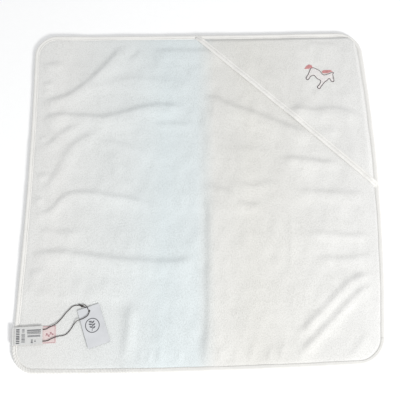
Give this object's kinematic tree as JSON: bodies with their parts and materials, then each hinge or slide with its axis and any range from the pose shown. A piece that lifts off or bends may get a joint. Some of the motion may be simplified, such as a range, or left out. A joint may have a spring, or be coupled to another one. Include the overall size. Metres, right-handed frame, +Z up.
{
  "type": "hooded baby towel",
  "caption": "Square terry baby towel with a bound edge, rounded corners, a three-cornered hood, sewn-in side labels and a hang tag on a cord.",
  "frame": {"origin": "bottom centre of the towel as it lies flat", "axes": "+Z up out of the cloth; +Y towards the hooded top edge; +X to the right, so the hood is at the +X +Y corner and the labels are on the -X edge"},
  "size_m": [0.75, 0.75, 0.0082],
  "materials": {
    "terry_cloth": "white looped terry",
    "binding_tape": "white bias tape",
    "sewing_thread": "off-white thread",
    "embroidery_white": "satin stitch",
    "embroidery_grey": "satin stitch",
    "embroidery_pink": "satin stitch",
    "backing_fleece": "matt non-woven",
    "label_satin": "printed satin",
    "ribbon_satin": "pale satin ribbon",
    "tag_cord": "waxed cord",
    "tag_card": "matt card"
  },
  "bodies": {
    "towel": {"towel_panel": "terry_cloth", "edge_binding": "binding_tape", "edge_stitch_top": "sewing_thread", "edge_stitch_bottom": "sewing_thread"},
    "hood": {"hood_panel": "terry_cloth", "hood_binding": "binding_tape", "hood_stitch_top": "sewing_thread", "hood_stitch_bottom": "sewing_thread", "embroidery_backing": "backing_fleece", "embroidery_fill": "embroidery_white", "embroidery_outline": "embroidery_grey", "embroidery_mane": "embroidery_pink"},
    "label": {"care_label": "label_satin", "ribbon_label": "ribbon_satin", "label_bartack": "sewing_thread", "tag_cord": "tag_cord", "cord_knot": "tag_cord"},
    "tag": {"hang_tag": "tag_card"}
  },
  "joints": [
    {"name": "hood_lift", "type": "hinge", "parent": "towel", "child": "hood", "pos_m": [0.352, 0.352, 0.0073], "axis": [-0.7071, 0.7071, 0], "range_deg": [0, 25]},
    {"name": "label_flip", "type": "hinge", "parent": "towel", "child": "label", "pos_m": [-0.3738, -0.311, 0.0077], "axis": [0.0523, -0.9986, 0], "range_deg": [0, 170]},
    {"name": "tag_swing", "type": "hinge", "parent": "label", "child": "tag", "pos_m": [-0.2195, -0.26, 0.006], "axis": [0, 0, 1], "range_deg": [-15, 35]}
  ]
}
